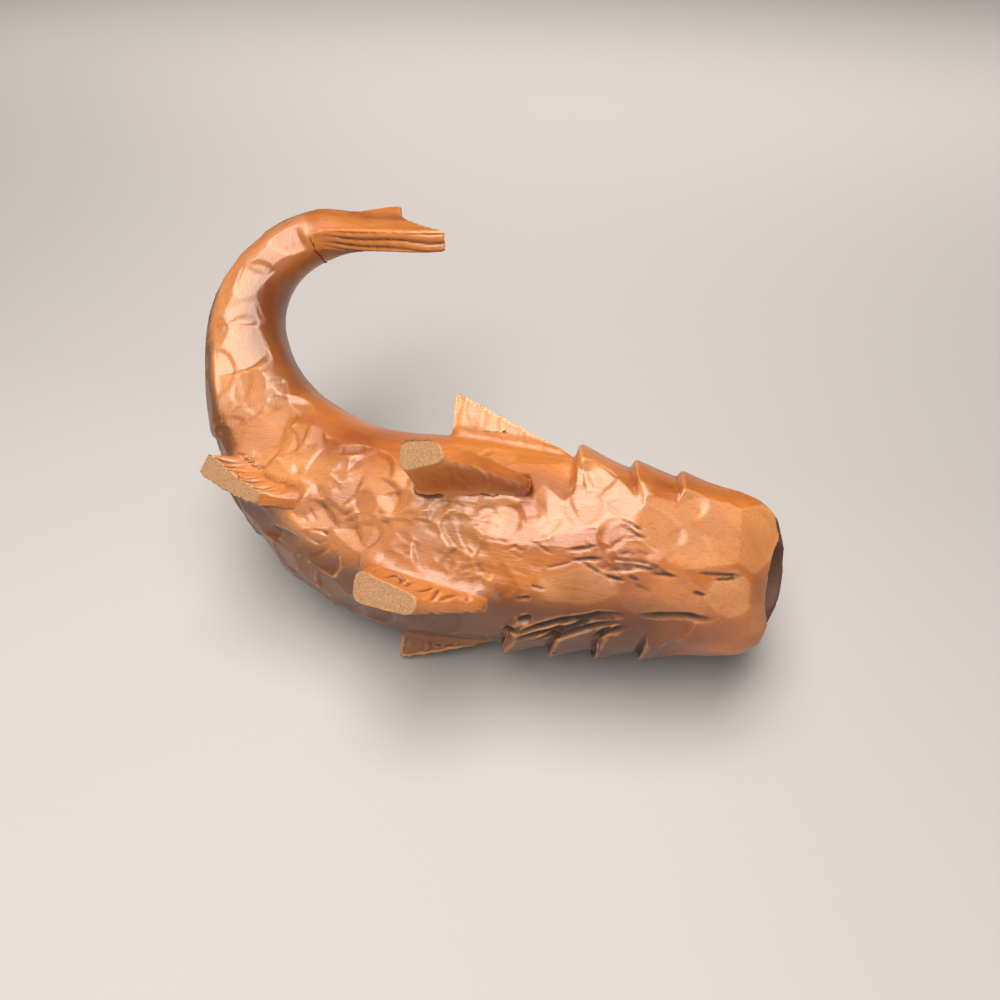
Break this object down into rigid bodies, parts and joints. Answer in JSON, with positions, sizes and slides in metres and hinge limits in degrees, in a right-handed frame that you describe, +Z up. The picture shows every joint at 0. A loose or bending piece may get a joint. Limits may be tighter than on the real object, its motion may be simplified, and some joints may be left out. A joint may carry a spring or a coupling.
{
  "type": "wooden bass figurine",
  "caption": "Carved wooden bass figure with open mouth, stepped gill plates and fluted fins, its tail curled round to one side and its lower fins trimmed flat as feet.",
  "frame": {"origin": "centre of the bounding box's base, on the table that the figure lies on", "axes": "+X from tail to mouth, +Y towards the fish's back, +Z up from the table"},
  "size_m": [0.2032, 0.1514, 0.1086],
  "materials": {
    "stained_wood": "red-brown stain under a satin wax",
    "dowel_wood": "bare wood",
    "dark_bead": "polished dark wood"
  },
  "bodies": {
    "root": {"body": "stained_wood", "tail_stalk": "stained_wood", "tail_fin": "stained_wood", "spiny_dorsal_fin": "stained_wood", "soft_dorsal_fin": "stained_wood", "pectoral_fin_left": "stained_wood", "pectoral_fin_right": "stained_wood", "pelvic_fin_left": "stained_wood", "pelvic_fin_right": "stained_wood", "anal_fin": "stained_wood", "tail_stalk_dowel": "dowel_wood", "tail_fin_dowel": "dowel_wood", "spiny_dorsal_fin_dowel_1": "dowel_wood", "spiny_dorsal_fin_dowel_2": "dowel_wood", "soft_dorsal_fin_dowel": "dowel_wood", "pectoral_fin_left_dowel": "dowel_wood", "pectoral_fin_right_dowel": "dowel_wood", "pelvic_fin_left_dowel": "dowel_wood", "pelvic_fin_right_dowel": "dowel_wood", "anal_fin_dowel": "dowel_wood", "eye_left": "dark_bead", "eye_right": "dark_bead"}
  },
  "joints": []
}
